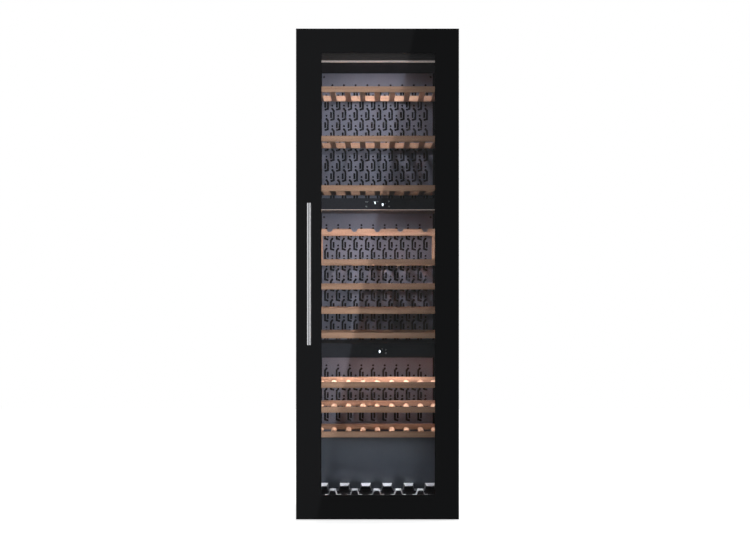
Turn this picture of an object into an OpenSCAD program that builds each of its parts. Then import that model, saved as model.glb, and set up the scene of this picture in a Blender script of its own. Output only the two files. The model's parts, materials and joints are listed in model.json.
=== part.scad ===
// Full-height built-in wine cooler: three climate zones behind one glass door.
// The front faces -Y, +X is to the right, +Z is up, and the floor is at z = 0.
// Depths are measured backwards from the front face of the door's glass.

/* [Door] */
// Width of the door
door_w = 595; // [590:1:600]
// Height of the door
door_h = 1792; // [1788:1:1800]
// Height of the door's lower edge above the floor
door_gap = 3; // [2:1:8]
// Thickness of the door without its gasket
door_t = 38; // [38:1:40]
// Thickness of each pane of glass
pane_t = 4; // [3:0.5:4]
// Black border between the door's left edge and the window
border_left = 92.8; // [88:0.1:98]
// Black border between the window and the door's right edge
border_right = 87.6; // [84:0.1:92]
// Black border above and below the window
border_end = 88.6; // [84:0.1:92]
// Width of the magnetic gasket
gasket_w = 12; // [10:1:14]

/* [Handle] */
// Diameter of the handle bar
bar_d = 14; // [12:1:20]
// Length of the handle bar
bar_l = 520; // [400:10:700]
// Distance from the door's left edge to the centre of the bar
bar_inset = 48.5; // [40:0.5:60]
// Distance from the glass to the centre of the bar
bar_reach = 35; // [28:1:40]
// Diameter of the two posts that carry the bar
post_d = 12; // [8:1:14]
// Distance from each end of the bar to its post
post_inset = 40; // [30:5:100]

/* [Hinges] */
// Distance from the door's right edge to the hinge axis
hinge_inset = 12; // [12:0.5:13]
// Depth of the hinge axis
hinge_depth = 22; // [21:0.5:22]
// Diameter of the hinge pins
pin_d = 10; // [8:1:10]
// Thickness of the hinge brackets
bracket_t = 3; // [3:0.5:4]

/* [Cabinet] */
// Width of the cabinet
body_w = 557; // [554:1:558]
// Height of the cabinet's base above the floor
base_z = 20; // [20:1:22]
// Height of the cabinet's top above the floor
top_z = 1778; // [1774:1:1780]
// Depth of the cabinet's front face
body_front = 46; // [46:1:50]
// Depth of the cabinet's back
body_back = 573; // [570:1:600]
// Thickness of the casing's steel sheet
sheet_t = 1.2; // [0.8:0.1:1.5]
// Thickness of the front frame
front_t = 4; // [3:0.5:4]
// Depth of the machine bay's bulkhead
bay_depth = 400; // [395:1:402]
// Height of the machine bay's roof
bay_z = 235; // [230:1:236]
// Diameter of the levelling feet
foot_d = 40; // [30:1:50]

/* [Interior] */
// Clear width between the liner's side walls
inner_w = 495; // [494:1:496]
// Height of the interior floor
floor_z = 80; // [76:1:82]
// Height of the liner's ceiling
ceiling_z = 1685; // [1683:1:1688]
// Thickness of the liner
liner_t = 2; // [1:0.5:2]
// Depth of the liner's back wall
liner_back = 518; // [518:1:530]
// Depth of the step over the machine bay
step_depth = 340; // [330:1:342]
// Height of the step over the machine bay
step_z = 285; // [280:1:286]
// Depth of the perforated back panels' front faces
panel_depth = 486; // [484:1:486]
// Width of the perforated back panels
panel_w = 430; // [424:1:440]

/* [Zone dividers] */
// Height of the upper divider's underside
upper_divider_z = 1135; // [1134:0.5:1140]
// Height of the upper divider
upper_divider_h = 42.7; // [40:0.1:44]
// Height of the lower divider's underside
lower_divider_z = 592; // [588:0.5:594]
// Height of the lower divider
lower_divider_h = 52.5; // [48:0.1:54]
// Depth of the light bars, front to back
light_bar_l = 32; // [24:1:36]
// Height of the light bars
light_bar_h = 4; // [3:0.5:5]

/* [Shelves] */
// Height of the upper zone's lowest shelf
upper_shelf_z = 1205; // [1200:1:1210]
// Spacing of the upper zone's shelves
upper_pitch = 182; // [175:1:184]
// Height of the middle zone's lowest shelf
middle_shelf_z = 662.5; // [660:0.5:664]
// Spacing of the middle zone's shelves
middle_pitch = 90; // [86:0.5:92]
// Height of the lower zone's lowest shelf
lower_shelf_z = 298; // [294:1:300]
// Spacing of the lower zone's shelves
lower_pitch = 91; // [86:0.5:92]
// Width of a shelf
shelf_w = 465; // [464:1:466]
// Depth of a shelf's front face
shelf_front = 66; // [66:1:70]
// Depth of the rear rail's front face
shelf_back = 456; // [450:1:456]
// Height of the shelf rails
rail_h = 21; // [19:1:24]
// Thickness of the shelf rails
rail_t = 18; // [16:1:20]
// Spacing of the slats
slat_pitch = 55.5; // [54:0.5:55.5]
// Width of a slat at its base
slat_w = 21; // [18:1:21]
// Width of the slat at each end of a shelf
end_slat_w = 26; // [21:1:28]
// Width of a slat's flat top
slat_top_w = 7; // [5:1:10]
// Height of a slat
slat_h = 10; // [8:1:12]
// Height of the presenter board's lower edge above the display shelf's rails
riser_lift = 94; // [85:1:100]
// Height of the presenter board
riser_h = 27.5; // [24:0.5:32]

/* [Bottle outlines in the back panels] */
// Spacing of the bottle outlines across a panel
bottle_pitch_x = 45.3; // [44:0.1:46]
// Spacing of the bottle outlines up a panel
bottle_pitch_z = 79.3; // [76:0.1:82]
// Width of the slots that draw a bottle
slot_w = 7.6; // [4:0.1:8]

/* [Floor rack] */
// Spacing of the bottles on the floor rack
rack_pitch = 81; // [78:1:82]
// Thickness of the rack's steel strip
rack_t = 2; // [1.5:0.5:3]
// Width of the rack's strips
rack_w = 464; // [460:1:470]
// Height of the rack
rack_h = 23; // [20:1:28]

/* [Hidden] */
$fn = 48;
fit_gap = 0.2;
door_y = (bar_reach + bar_d / 2 - body_back) / 2;
door_top = door_gap + door_h;
door_mid_z = door_gap + door_h / 2;
window_x = [border_left - door_w / 2, door_w / 2 - border_right];
window_z = [door_gap + border_end, door_top - border_end];
print_t = 0.4;
frame_inset = 2;
spacer_w = 8.8;
spacer_lip = 1;
pane_overlap = 18;
inner_pane_depth = 32;
hinge_x = door_w / 2 - hinge_inset;
notch_x = [238, door_w / 2 - frame_inset];
notch_h = 23;
bush_d = 16;
bush_l = 18;
pin_play = 0.05;
arm_w = 17;
arm_front = 9;
bracket_w = 36;
bracket_h = 34;
post_z = [for (s = [-1, 1]) door_mid_z + s * (bar_l / 2 - post_inset)];
bar_x = bar_inset - door_w / 2;
liner_front = body_front + front_t;
skin_w = body_w - 2 * sheet_t;
cover_t = 1.2;
cover_gap = 0.8;
lamp_z = [ceiling_z - 5.5, upper_divider_z, lower_divider_z];
ceiling_cover_z = lamp_z[0];
upper_panel_z = [upper_divider_z + upper_divider_h + fit_gap, ceiling_cover_z - fit_gap];
middle_panel_z = [lower_divider_z + lower_divider_h + fit_gap, upper_divider_z - fit_gap];
lower_panel_z = [step_z + fit_gap, lower_divider_z - fit_gap];
PANELS_Z = [upper_panel_z, middle_panel_z, lower_panel_z];
fascia_depth = [liner_front, liner_front + 4];
fan_r = 40;
fan_x = 150;
fan_z = [for (p = PANELS_Z) (p[0] + p[1]) / 2];
fan_depth = [492, 506];
fan_blades = 7;
shaft_r = 2.5;
cooler_x = [-190, 90];
cooler_h = 180;
bay_fan_r = 62;
bay_fan_x = [150, 172];
bay_centre_depth = (bay_depth + body_back) / 2;
bay_centre_z = 118;
inlet_x = [196, 246];
inlet_z = [54, 84];
bottle_columns = 9;
column_b_x = -197.7;
column_a_x = column_b_x + bottle_pitch_x / 2;

steel = [0.78, 0.79, 0.8];
black_gloss = [0.05, 0.05, 0.055];
black_matt = [0.09, 0.09, 0.1];
panel_grey = [0.42, 0.43, 0.46];
beech = [0.72, 0.55, 0.42];
casing_grey = [0.2, 0.2, 0.22];
white_plastic = [0.9, 0.89, 0.86];
aluminium = [0.7, 0.71, 0.72];

// Which way each hinge's bush runs from its notch (0 up, 1 down) and the height of the notch's floor
HINGE_ENDS = [
    [0, door_gap + frame_inset + notch_h],
    [1, door_top - frame_inset - notch_h]
];

// Each zone's name, its lowest shelf's height, its shelf spacing and its number of shelves
SHELF_ZONES = [
    ["upper", upper_shelf_z, upper_pitch, 3],
    ["middle", middle_shelf_z, middle_pitch, 4],
    ["lower", lower_shelf_z, lower_pitch, 3]
];
// Each shelf's node, its slides' node and its height, counted upwards in each zone
SHELVES = [for (q = SHELF_ZONES) for (i = [1:q[3]])
    [str(q[0], "_shelf_", i), str(q[0], "_slides_", i), q[1] + (i - 1) * q[2]]];
display_z = middle_shelf_z + 3 * middle_pitch;

// ---- Helpers ----

// The outline of a band of width w along a path of points, with mitred corners
function band(path, w) = concat(
    [for (i = [0:len(path) - 1]) path[i] + mitre(path, i) * w / 2],
    [for (i = [len(path) - 1:-1:0]) path[i] - mitre(path, i) * w / 2]
);

// The sideways step from a path's point to the edge of a band of width 2
function mitre(path, i) = let(
    last = len(path) - 1,
    a = way(path, max(i - 1, 0)),
    b = way(path, min(i, last - 1)),
    m = [-a[1] - b[1], a[0] + b[0]] / norm(a + b)
) m / (m * [-a[1], a[0]]);

// The unit vector from a path's point to its next
function way(path, i) = (path[i + 1] - path[i]) / norm(path[i + 1] - path[i]);

// A box between two widths, two depths and two heights
module block(x, d, z) {
    translate([x[0], door_y + d[0], z[0]])
        cube([x[1] - x[0], d[1] - d[0], z[1] - z[0]]);
}

// A box centred on the cabinet's middle
module wide_block(w, d, z) {
    block([-w / 2, w / 2], d, z);
}

// A front view, drawn in x and z, given a thickness from one depth to another
module upright(d) {
    translate([0, door_y + d[1], 0])
        rotate([90, 0, 0])
            linear_extrude(d[1] - d[0])
                children();
}

// A side view, drawn in depth and z, given a width
module side_view(w) {
    translate([-w / 2, door_y, 0])
        rotate([90, 0, 90])
            linear_extrude(w)
                children();
}

// A rectangle in a front view
module area(x, z) {
    translate([x[0], z[0]])
        square([x[1] - x[0], z[1] - z[0]]);
}

// A rectangle round the window, grown by a margin
module window_area(margin) {
    area([window_x[0] - margin, window_x[1] + margin], [window_z[0] - margin, window_z[1] + margin]);
}

// A round rod along the depth
module rod(x, d, z, r) {
    translate([x, door_y + d[1], z])
        rotate([90, 0, 0])
            cylinder(h = d[1] - d[0], r = r);
}

// ---- Casing ----

module side_panels() {
    color(casing_grey)
        for (s = [0, 1])
            mirror([s, 0, 0])
                block([skin_w / 2, body_w / 2], [liner_front, body_back], [base_z, top_z]);
}

// The holes take the screws that hold the cabinet to its niche
module top_panel() {
    color(casing_grey)
        difference() {
            wide_block(skin_w, [liner_front, body_back], [top_z - sheet_t, top_z]);
            for (x = [-220, 220], d = [100, 500])
                translate([x, door_y + d, top_z - 5])
                    cylinder(h = 10, r = 2.75);
        }
}

module rear_panel() {
    vent_rows = 9;
    vent_pitch = 16;
    color(casing_grey)
        upright([body_back - sheet_t, body_back])
            difference() {
                area([-skin_w / 2, skin_w / 2], [base_z + sheet_t, top_z - sheet_t]);
                area([inlet_x[0] - fit_gap, inlet_x[1] + fit_gap],
                     [inlet_z[0] - fit_gap, inlet_z[1] + fit_gap]);
                for (i = [0:vent_rows - 1], x = [-210, -70, 70])
                    area([x - 55, x + 55], [56 + i * vent_pitch, 62 + i * vent_pitch]);
            }
}

// The base with the upstand and roof that close the machine bay off from the foam
module base_tray() {
    color(casing_grey) {
        wide_block(skin_w, [liner_front, body_back - sheet_t], [base_z, base_z + sheet_t]);
        wide_block(skin_w, [bay_depth, bay_depth + sheet_t], [base_z, bay_z + sheet_t]);
        wide_block(skin_w, [bay_depth, body_back - sheet_t], [bay_z, bay_z + sheet_t]);
    }
}

// The liner's hollow in a side view, grown by a margin
module liner_view(margin) {
    cover_back = step_depth + cover_t + cover_gap;
    step_top = step_z - cover_t - cover_gap;
    polygon([
        [liner_front - (margin == 0 ? 1 : 0), floor_z - margin],
        [cover_back + margin, floor_z - margin],
        [cover_back + margin, step_top - margin],
        [liner_back + margin, step_top - margin],
        [liner_back + margin, ceiling_z + margin],
        [liner_front - (margin == 0 ? 1 : 0), ceiling_z + margin]
    ]);
}

module insulation_foam() {
    color([0.93, 0.88, 0.7])
        difference() {
            side_view(skin_w)
                polygon([
                    [liner_front, base_z + sheet_t],
                    [bay_depth, base_z + sheet_t],
                    [bay_depth, bay_z + sheet_t],
                    [body_back - sheet_t, bay_z + sheet_t],
                    [body_back - sheet_t, top_z - sheet_t],
                    [liner_front, top_z - sheet_t]
                ]);
            side_view(inner_w + 2 * liner_t)
                liner_view(liner_t);
        }
}

module inner_liner() {
    color(black_matt)
        difference() {
            side_view(inner_w + 2 * liner_t)
                liner_view(liner_t);
            side_view(inner_w)
                liner_view(0);
        }
}

module front_frame() {
    color(black_matt)
        upright([body_front, liner_front])
            difference() {
                area([-body_w / 2, body_w / 2], [base_z, top_z]);
                area([-inner_w / 2, inner_w / 2], [floor_z, ceiling_z]);
            }
}

module levelling_feet() {
    pad_h = 8;
    color("black")
        for (x = [-235, 235], d = [95, 530])
            translate([x, door_y + d, 0]) {
                cylinder(h = pad_h, r = foot_d / 2);
                cylinder(h = base_z, r = 6);
            }
}

// A recessed mains inlet with three flat contacts
module power_inlet() {
    mouth_x = [inlet_x[0] + 12, inlet_x[1] - 12];
    mouth_z = [inlet_z[0] + 6, inlet_z[1] - 6];
    color("black")
        difference() {
            block(inlet_x, [body_back - 24, body_back], inlet_z);
            block(mouth_x, [body_back - 17, body_back + 1], mouth_z);
        }
    color(steel)
        for (i = [-1:1])
            block([221 + i * 7 - 1, 221 + i * 7 + 1], [body_back - 19, body_back - 5],
                  [67 - abs(i) * 3, 71 - abs(i) * 3]);
}

// ---- Door ----

module door_outer_glass() {
    color([0.1, 0.1, 0.11, 0.5])
        upright([0, pane_t])
            area([-door_w / 2, door_w / 2], [door_gap, door_top]);
}

// The black print behind the outer pane, which leaves the window clear
module door_border_print() {
    color(black_gloss)
        upright([pane_t, pane_t + print_t])
            difference() {
                area([-door_w / 2, door_w / 2], [door_gap, door_top]);
                window_area(0);
            }
}

module glass_spacer() {
    color(black_matt)
        upright([pane_t + print_t, inner_pane_depth])
            difference() {
                window_area(spacer_lip + spacer_w);
                window_area(spacer_lip);
            }
}

module door_inner_glass() {
    color([0.7, 0.75, 0.75, 0.3])
        upright([inner_pane_depth, inner_pane_depth + pane_t])
            window_area(pane_overlap - fit_gap);
}

// The recess for a hinge arm at one end of the door, open to the right and to the back
module hinge_notch(z) {
    block([notch_x[0], notch_x[1] + 1], [pane_t + print_t, door_t + 1], z);
}

module door_frame() {
    frame_x = door_w / 2 - frame_inset;
    frame_z = [door_gap + frame_inset, door_top - frame_inset];
    color(black_matt)
        difference() {
            upright([pane_t + print_t, door_t])
                area([-frame_x, frame_x], frame_z);
            upright([pane_t, inner_pane_depth])
                window_area(spacer_lip + spacer_w);
            upright([inner_pane_depth, door_t + 1])
                window_area(pane_overlap);
            hinge_notch([frame_z[1] - notch_h, frame_z[1] + 1]);
            hinge_notch([frame_z[0] - 1, frame_z[0] + notch_h]);
            for (end = HINGE_ENDS)
                translate([hinge_x, door_y + hinge_depth, end[1]])
                    mirror([0, 0, end[0]])
                        translate([0, 0, -1])
                            cylinder(h = bush_l + 1, r = bush_d / 2);
        }
}

module hinge_bushes() {
    color(white_plastic)
        for (end = HINGE_ENDS)
            translate([hinge_x, door_y + hinge_depth, end[1]])
                mirror([0, 0, end[0]])
                    difference() {
                        cylinder(h = bush_l, r = bush_d / 2);
                        translate([0, 0, -1])
                            cylinder(h = bush_l, r = pin_d / 2 + pin_play);
                    }
}

// An angle screwed to the cabinet, whose arm reaches into the door and carries a pin
module hinge_bracket() {
    arm_z = 1;
    pin_l = 15;
    block([body_w / 2 - bracket_w, body_w / 2], [body_front - bracket_t, body_front],
          [0, bracket_h]);
    block([body_w / 2 - bracket_w, hinge_x + arm_w / 2], [hinge_depth - arm_front, body_front],
          [arm_z, arm_z + bracket_t]);
    translate([hinge_x, door_y + hinge_depth, arm_z])
        cylinder(h = pin_l, r = pin_d / 2);
}

module hinge_brackets() {
    color(steel) {
        translate([0, 0, base_z])
            hinge_bracket();
        translate([0, 0, top_z])
            mirror([0, 0, 1])
                hinge_bracket();
    }
}

module door_gasket() {
    gasket_depth = [door_t, body_front - 0.5];
    mid_x = (inner_w + body_w) / 4;
    mid_z = [floor_z - 15, ceiling_z + 15];
    color([0.13, 0.13, 0.14])
        upright(gasket_depth)
            difference() {
                area([-mid_x - gasket_w / 2, mid_x + gasket_w / 2],
                     [mid_z[0] - gasket_w / 2, mid_z[1] + gasket_w / 2]);
                area([-mid_x + gasket_w / 2, mid_x - gasket_w / 2],
                     [mid_z[0] + gasket_w / 2, mid_z[1] - gasket_w / 2]);
            }
}

// A round bar whose ends are shallow domes
module handle_bar() {
    dome_r = 14;
    color(steel)
        translate([bar_x, door_y - bar_reach, door_mid_z])
            intersection() {
                cylinder(h = bar_l, r = bar_d / 2, center = true);
                union() {
                    cube([bar_d, bar_d, bar_l - 2 * dome_r], center = true);
                    for (s = [-1, 1])
                        translate([0, 0, s * (bar_l / 2 - dome_r)])
                            sphere(dome_r);
                }
            }
}

module handle_posts() {
    color(steel)
        difference() {
            for (z = post_z)
                rod(bar_x, [-bar_reach, 0], z, post_d / 2);
            translate([bar_x, door_y - bar_reach, door_mid_z])
                cylinder(h = bar_l, r = bar_d / 2, center = true);
        }
}

// ---- Climate zones ----

module ceiling_cover() {
    cover_x = inner_w / 2 - fit_gap;
    d = [liner_front + 4 + light_bar_l + 1, liner_back - fit_gap];
    color(black_matt) {
        block([-cover_x, cover_x], d, [ceiling_cover_z, ceiling_cover_z + cover_t]);
        for (s = [0, 1])
            mirror([s, 0, 0])
                block([cover_x - cover_t, cover_x], d, [ceiling_cover_z, ceiling_z - fit_gap]);
    }
}

// A divider whose underside is cut back at the front for a light bar
module divider(z, h) {
    w = inner_w - 2 * fit_gap;
    lamp_back = fascia_depth[1] + light_bar_l + 1;
    wide_block(w, [fascia_depth[1], liner_back - fit_gap], [z + light_bar_h + 1, z + h]);
    wide_block(w, [lamp_back, liner_back - fit_gap], [z, z + h]);
}

module zone_dividers() {
    color(black_matt) {
        divider(upper_divider_z, upper_divider_h);
        divider(lower_divider_z, lower_divider_h);
    }
}

module control_fascias() {
    w = inner_w - 2 * fit_gap;
    color(black_gloss) {
        wide_block(w, fascia_depth, [upper_divider_z + 1.5, upper_divider_z + upper_divider_h]);
        wide_block(w, fascia_depth, [lower_divider_z, lower_divider_z + lower_divider_h]);
    }
}

module light_bars() {
    color([1, 0.9, 0.8])
        for (z = lamp_z)
            wide_block(inner_w - 10, [fascia_depth[1] + fit_gap, fascia_depth[1] + light_bar_l],
                       [z, z + light_bar_h]);
}

// The slots that draw one bottle: its neck, its right side and base, and a short left side
module bottle_slots() {
    side_x = -4.9;
    side_z = [-35.2, -12.3];
    neck_r = 4.4;
    dot_r = 4;
    dot_z = 12.5;
    polygon(band([[0, 0], [5.6, -7], [5.6, -40], [-7.5, -43.5]], slot_w));
    area([side_x - slot_w / 2, side_x + slot_w / 2], side_z);
    circle(neck_r);
    translate([0, dot_z])
        circle(dot_r);
}

// Rows of bottles in columns a full pitch apart, from the top row down
module bottle_rows(x, z, rows, flip) {
    for (c = [0:bottle_columns - 1], r = [0:rows - 1])
        translate([x + c * bottle_pitch_x, z - r * bottle_pitch_z])
            mirror([flip, 0])
                bottle_slots();
}

// A panel with two staggered sets of bottles, and flanges that close the air duct behind it
module back_panel(z, a, b, flip) {
    color(panel_grey) {
        upright([panel_depth, panel_depth + cover_t])
            difference() {
                area([-panel_w / 2, panel_w / 2], z);
                bottle_rows(column_a_x, a[0], a[1], flip);
                bottle_rows(column_b_x, b[0], b[1], flip);
            }
        for (s = [0, 1])
            mirror([s, 0, 0])
                block([panel_w / 2 - cover_t, panel_w / 2],
                      [panel_depth, liner_back - fit_gap], z);
    }
}

module upper_back_panel() {
    back_panel(upper_panel_z, [1621.1, 6], [1581.6, 5], 0);
}

module middle_back_panel() {
    back_panel(middle_panel_z, [1036.9, 5], [1077.2, 6], 1);
}

module lower_back_panel() {
    back_panel(lower_panel_z, [493, 2], [532.5, 3], 1);
}

module back_panel_screws() {
    margin = [8, 14];
    color(steel)
        for (p = PANELS_Z, x = [margin[0] - panel_w / 2, panel_w / 2 - margin[0]],
             z = [p[0] + margin[1], p[1] - margin[1]])
            rod(x, [panel_depth - 1.8, panel_depth - 0.05], z, 4);
}

module step_cover() {
    w = inner_w - 2 * fit_gap;
    color([0.2, 0.22, 0.25]) {
        wide_block(w, [step_depth, step_depth + cover_t], [floor_z + fit_gap, step_z]);
        wide_block(w, [step_depth, liner_back - fit_gap], [step_z - cover_t, step_z]);
    }
}

// ---- Cooling ----

// A block of fins on three rows of tube
module finned_coil(x, d, z, fins) {
    fin_t = 1;
    step = (x[1] - x[0] - fin_t) / (fins - 1);
    for (i = [0:fins - 1])
        block([x[0] + i * step, x[0] + i * step + fin_t], d, z);
    for (row = [1, 3, 5])
        translate([x[0] - 6, door_y + (d[0] + d[1]) / 2, z[0] + (z[1] - z[0]) * row / 6])
            rotate([0, 90, 0])
                cylinder(h = x[1] - x[0] + 12, r = 4);
}

module evaporators() {
    color(aluminium)
        for (z = fan_z)
            finned_coil(cooler_x, [490, 514], [z - cooler_h / 2, z + cooler_h / 2], 18);
}

// A square frame round a bore, with three arms at the back that carry the shaft
module fan_housing(r, depth, arm_t) {
    difference() {
        translate([-r - 6, 0, -r - 6])
            cube([2 * r + 12, depth, 2 * r + 12]);
        translate([0, -1, 0])
            rotate([-90, 0, 0])
                cylinder(h = depth - arm_t + 1, r = r + 2);
        for (a = [0:120:240])
            rotate([0, a, 0])
                translate([0, -1, 0])
                    rotate([-90, 0, 0])
                        rotate([0, 0, 12])
                            rotate_extrude(angle = 96)
                                translate([r * 0.35, 0])
                                    square([r * 0.62, depth + 2]);
    }
    translate([0, 5, 0])
        rotate([-90, 0, 0])
            cylinder(h = depth - 5, r = shaft_r);
}

module fan_housings() {
    color(black_matt)
        for (z = fan_z)
            translate([fan_x, door_y + fan_depth[0] - 3, z])
                fan_housing(fan_r, 24, 4);
}

// A hub with tilted blades, turning about the depth axis, with a blind bore for its shaft
module rotor(r, hub_r, depth, blades, bore_r) {
    difference() {
        union() {
            rotate([-90, 0, 0])
                cylinder(h = depth, r = hub_r);
            intersection() {
                rotate([-90, 0, 0])
                    cylinder(h = depth, r = r);
                for (i = [0:blades - 1])
                    rotate([0, i * 360 / blades, 0])
                        translate([hub_r / 2, depth / 2, 0])
                            rotate([35, 0, 0])
                                translate([0, -0.8, -hub_r * 0.7])
                                    cube([r, 1.6, hub_r * 1.4]);
            }
        }
        translate([0, 1.5, 0])
            rotate([-90, 0, 0])
                cylinder(h = depth, r = bore_r);
    }
}

module zone_fan(z) {
    color([0.16, 0.16, 0.17])
        translate([fan_x, door_y + fan_depth[0], z])
            rotor(fan_r, 14, fan_depth[1] - fan_depth[0], fan_blades, shaft_r + pin_play);
}

// A welded pot on a foot plate with rubber mounts
module compressor() {
    pot_r = 68;
    pot_h = 105;
    foot_z = base_z + sheet_t;
    translate([-150, door_y + bay_centre_depth, foot_z]) {
        color("black") {
            translate([0, 0, 16])
                cylinder(h = pot_h, r = pot_r);
            intersection() {
                translate([0, 0, 16 + pot_h - 60])
                    sphere(r = 90);
                translate([0, 0, 16 + pot_h])
                    cylinder(h = 60, r = pot_r);
            }
            translate([-90, -70, 12])
                cube([180, 140, 4]);
        }
        color([0.2, 0.2, 0.2])
            for (x = [-78, 78], y = [-58, 58])
                translate([x, y, 0])
                    cylinder(h = 12, r = 10);
    }
}

module condenser() {
    color([0.25, 0.2, 0.17])
        finned_coil([20, 120], [bay_centre_depth - 62, bay_centre_depth + 62],
                    [base_z + sheet_t + 1, base_z + sheet_t + 180], 18);
}

// The shroud round the condenser fan and the motor that carries it
module condenser_fan_mount() {
    foot_z = base_z + sheet_t;
    color(black_matt) {
        difference() {
            block([134, 178], [bay_centre_depth - 72, bay_centre_depth + 72], [foot_z, foot_z + 176]);
            translate([130, door_y + bay_centre_depth, bay_centre_z])
                rotate([0, 90, 0])
                    cylinder(h = 60, r = bay_fan_r + 3);
        }
        block([180, 190], [bay_centre_depth - 8, bay_centre_depth + 8], [foot_z, bay_centre_z]);
        translate([180, door_y + bay_centre_depth, bay_centre_z])
            rotate([0, 90, 0])
                cylinder(h = 16, r = 30);
        translate([156, door_y + bay_centre_depth, bay_centre_z])
            rotate([0, 90, 0])
                cylinder(h = 30, r = 4);
        block([176, 182], [bay_centre_depth - 72, bay_centre_depth + 72], [foot_z, foot_z + 8]);
    }
}

module condenser_fan() {
    color([0.16, 0.16, 0.17])
        translate([bay_fan_x[0], door_y + bay_centre_depth, bay_centre_z])
            rotate([0, 0, -90])
                rotor(bay_fan_r, 20, bay_fan_x[1] - bay_fan_x[0], 5, 4 + pin_play);
}

// ---- Bottle storage ----

// A slat between a shelf's rails, with sloped shoulders
module slat(x, z, w) {
    chamfer_z = slat_h * 0.45;
    top_w = w - slat_w + slat_top_w;
    translate([x, 0, z])
        upright([shelf_front + rail_t + fit_gap, shelf_back - fit_gap])
            polygon([
                [-w / 2, 0], [w / 2, 0], [w / 2, chamfer_z],
                [top_w / 2, slat_h], [-top_w / 2, slat_h], [-w / 2, chamfer_z]
            ]);
}

module shelf(z) {
    color(beech) {
        for (d = [shelf_front, shelf_back])
            wide_block(shelf_w, [d, d + rail_t], [z, z + rail_h]);
        for (i = [-3:3])
            slat(i * slat_pitch, z, slat_w);
        for (s = [-1, 1])
            slat(s * (shelf_w - end_slat_w) / 2, z, end_slat_w);
    }
}

// The board over the display shelf's rear rail, with a round notch for each bottle's neck
module display_riser() {
    post_x = 211.5;
    board_z = [display_z + riser_lift + rail_h, display_z + riser_lift + rail_h + riser_h];
    notch_r = 14.1;
    color(beech)
        upright([shelf_back, shelf_back + rail_t])
            difference() {
                area([-post_x - rail_t, post_x + rail_t], [display_z + rail_h, board_z[1]]);
                area([-post_x, post_x], [display_z, board_z[0]]);
                for (x = [-185, -89, 0, 89, 185])
                    translate([x, board_z[1] + 1.5])
                        circle(notch_r);
            }
}

// A C-shaped steel section along one side of a shelf, open towards the cabinet
module slide_section(x, z, d, plate_first) {
    t = 1.5;
    plate_x = plate_first ? [x[0], x[0] + t] : [x[1] - t, x[1]];
    block(plate_x, d, z);
    block(x, d, [z[0], z[0] + t]);
    block(x, d, [z[1] - t, z[1]]);
}

module shelf_slides(z) {
    color(steel)
        for (s = [0, 1])
            mirror([s, 0, 0])
                slide_section([shelf_w / 2 + fit_gap, 243], [z + 4, z + 18], [75, 450], true);
}

module cabinet_runners() {
    color(steel)
        for (item = SHELVES, s = [0, 1])
            mirror([s, 0, 0])
                slide_section([238, inner_w / 2 - fit_gap], [item[2] + 1, item[2] + 21],
                              [60, 460], false);
}

// A strip bent into humps, on the floor from side to side
module humped_strip(first_x, humps, top_w, slope_w, d) {
    low = floor_z + fit_gap + rack_t / 2;
    high = floor_z + rack_h - rack_t / 2;
    upright(d)
        polygon(band(concat(
            [[-rack_w / 2, low]],
            [for (i = [0:humps - 1], side = [-1, 1], foot = [0, 1])
                let(out = (foot == 0) == (side < 0))
                [first_x + i * rack_pitch + side * (top_w / 2 + (out ? slope_w : 0)), out ? low : high]],
            [[rack_w / 2, low]]
        ), rack_t));
}

// The rack on the floor: rests for the bottles behind, rests for their necks in front, and two ties
module bottle_rack() {
    first_x = -206;
    front = [62, 132];
    rear = [232, 337];
    color(steel) {
        humped_strip(first_x, 6, 35, 3, rear);
        humped_strip(first_x + rack_pitch / 2, 5, 17, 8, front);
        for (s = [0, 1])
            mirror([s, 0, 0])
                block([rack_w / 2 - 2, rack_w / 2 + 6], [front[0], rear[1]],
                      [floor_z + fit_gap, floor_z + fit_gap + rack_t]);
    }
}

side_panels();
top_panel();
rear_panel();
base_tray();
insulation_foam();
inner_liner();
front_frame();
ceiling_cover();
upper_back_panel();
middle_back_panel();
lower_back_panel();
back_panel_screws();
zone_dividers();
control_fascias();
light_bars();
step_cover();
evaporators();
fan_housings();
zone_fan(fan_z[0]);  // upper_fan
zone_fan(fan_z[1]);  // middle_fan
zone_fan(fan_z[2]);  // lower_fan
compressor();
condenser();
condenser_fan_mount();
condenser_fan();
bottle_rack();
cabinet_runners();
hinge_brackets();
levelling_feet();
power_inlet();
door_outer_glass();
door_border_print();
door_frame();
glass_spacer();
door_inner_glass();
door_gasket();
handle_bar();
handle_posts();
hinge_bushes();
display_riser();
for (item = SHELVES) {
    shelf(item[2]);
    shelf_slides(item[2]);
}
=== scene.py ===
"""Looks for the built-in wine cooler: materials, detailed pieces, interior lamps, studio and camera."""

import json
import math

import bmesh
import bpy
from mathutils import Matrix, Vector


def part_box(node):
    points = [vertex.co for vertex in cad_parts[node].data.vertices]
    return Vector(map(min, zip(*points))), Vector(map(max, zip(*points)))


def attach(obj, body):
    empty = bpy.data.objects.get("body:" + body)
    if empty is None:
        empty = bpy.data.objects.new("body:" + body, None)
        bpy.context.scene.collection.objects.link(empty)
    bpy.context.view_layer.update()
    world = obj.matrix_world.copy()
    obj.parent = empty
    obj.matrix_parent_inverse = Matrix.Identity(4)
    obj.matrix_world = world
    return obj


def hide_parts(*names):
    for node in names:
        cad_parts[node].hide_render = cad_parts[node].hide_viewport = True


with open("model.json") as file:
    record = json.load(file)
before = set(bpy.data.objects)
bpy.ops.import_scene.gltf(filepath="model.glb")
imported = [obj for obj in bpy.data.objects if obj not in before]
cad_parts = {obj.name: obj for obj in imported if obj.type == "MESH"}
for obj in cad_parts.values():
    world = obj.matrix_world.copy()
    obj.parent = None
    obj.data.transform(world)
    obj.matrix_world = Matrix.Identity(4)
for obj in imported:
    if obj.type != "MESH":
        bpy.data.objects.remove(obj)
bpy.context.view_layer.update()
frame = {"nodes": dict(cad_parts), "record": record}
nodes = frame["nodes"]

MM = 0.001

# ---- Places taken from the frame ----

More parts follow.
